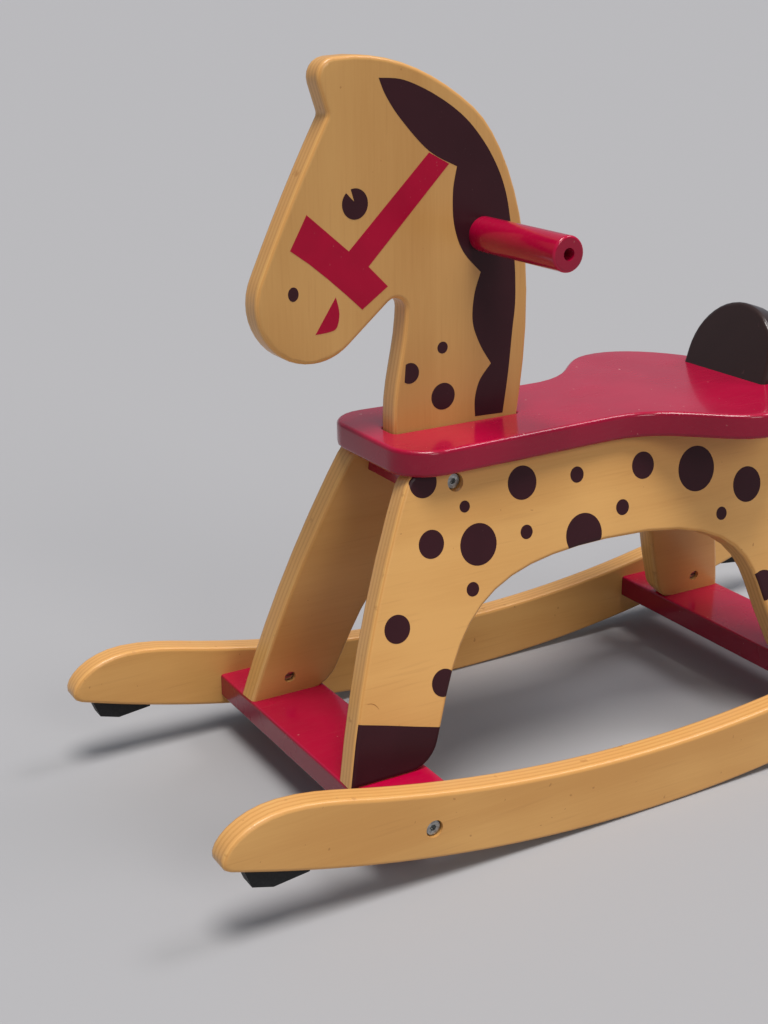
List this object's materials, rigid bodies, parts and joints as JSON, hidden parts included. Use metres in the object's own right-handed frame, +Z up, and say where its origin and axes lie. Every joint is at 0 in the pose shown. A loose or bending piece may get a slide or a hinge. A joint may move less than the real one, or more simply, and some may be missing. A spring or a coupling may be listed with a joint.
{
  "type": "rocking horse",
  "caption": "Plywood rocking horse: flat head panel with round grips, slotted seat with a backrest, splayed arched side panels and footboards between curved rockers.",
  "frame": {"origin": "on the floor under the middle of the horse, with the rockers level", "axes": "+X forwards towards the head, +Y to the horse's left, +Z up"},
  "size_m": [0.6688, 0.276, 0.499],
  "materials": {
    "birch_plywood": "satin clear lacquer over birch plywood with layered edges",
    "red_lacquer": "gloss red lacquer on plywood",
    "dark_brown_lacquer": "satin dark brown lacquer",
    "black_rubber": "matt moulded",
    "zinc_plated_steel": "zinc plated",
    "beech_dowel": "raw"
  },
  "bodies": {
    "root": {"rocker_left": "birch_plywood", "rocker_right": "birch_plywood", "side_panel_left": "birch_plywood", "side_panel_right": "birch_plywood", "head_panel": "birch_plywood", "front_footboard": "red_lacquer", "rear_footboard": "red_lacquer", "front_seat_block": "red_lacquer", "rear_seat_block": "red_lacquer", "seat": "red_lacquer", "handle_left": "red_lacquer", "handle_right": "red_lacquer", "backrest": "dark_brown_lacquer", "front_left_stop": "black_rubber", "front_right_stop": "black_rubber", "rear_left_stop": "black_rubber", "rear_right_stop": "black_rubber", "handle_rod": "zinc_plated_steel", "handle_sleeve_nuts": "zinc_plated_steel", "stop_screws": "zinc_plated_steel", "rocker_bolts": "zinc_plated_steel", "rocker_barrel_nuts": "zinc_plated_steel", "leg_bolts": "zinc_plated_steel", "leg_barrel_nuts": "zinc_plated_steel", "body_bolts": "zinc_plated_steel", "body_barrel_nuts": "zinc_plated_steel", "neck_bolts": "zinc_plated_steel", "neck_barrel_nuts": "zinc_plated_steel", "seat_screws": "zinc_plated_steel", "backrest_screws": "zinc_plated_steel", "rocker_dowels": "beech_dowel", "leg_dowels": "beech_dowel", "body_dowels": "beech_dowel"}
  },
  "joints": []
}
